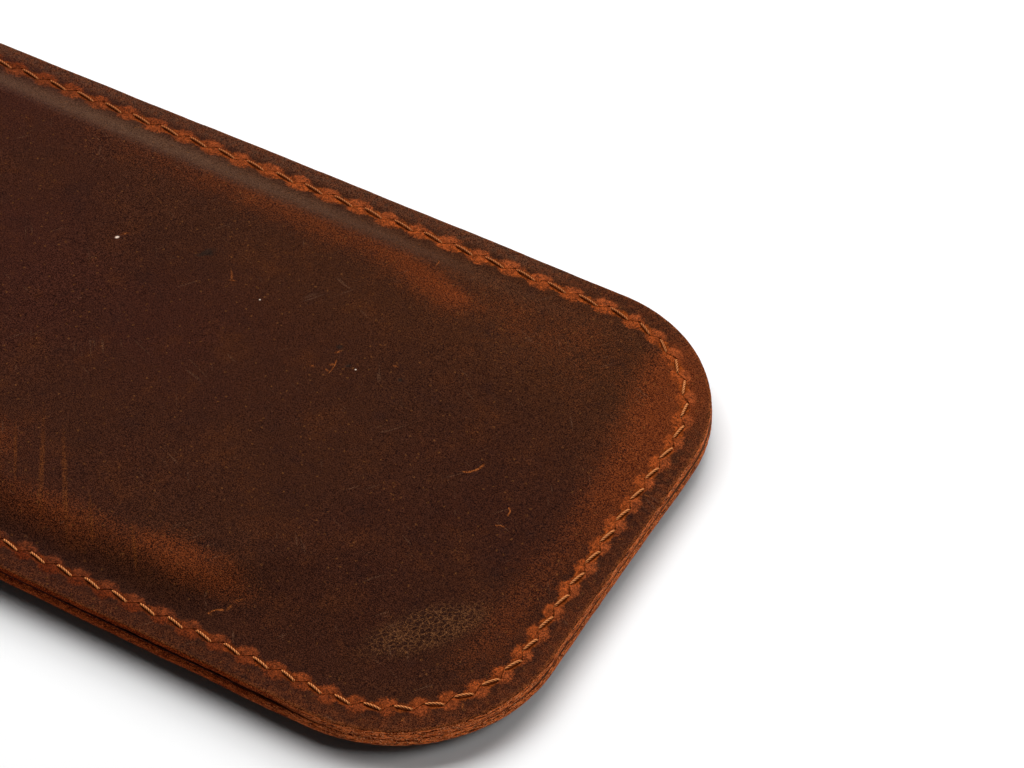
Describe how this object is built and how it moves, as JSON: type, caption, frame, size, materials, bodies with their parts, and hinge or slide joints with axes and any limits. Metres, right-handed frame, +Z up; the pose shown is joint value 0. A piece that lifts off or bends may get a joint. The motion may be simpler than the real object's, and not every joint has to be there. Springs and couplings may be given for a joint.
{
  "type": "leather sleeve case",
  "caption": "Flat slip-in sleeve case of two leather panels, saddle-stitched round both long sides and the rounded closed end, open at the other end.",
  "frame": {"origin": "middle of the footprint, on the table the case lies on", "axes": "+X to the rounded closed end, -X to the open mouth, +Y across the width, +Z up from the table"},
  "size_m": [0.17, 0.08, 0.008],
  "materials": {
    "upper_leather": "dark brown oiled pull-up leather, lighter orange brown where it is flexed, satin",
    "lower_leather": "dark brown oiled pull-up leather, satin",
    "contact_cement": "dried contact cement, dark, matte",
    "waxed_thread": "twisted tan waxed thread"
  },
  "bodies": {
    "root": {"upper_panel": "upper_leather", "lower_panel": "lower_leather", "glue_film": "contact_cement", "stitch_thread": "waxed_thread"}
  },
  "joints": []
}
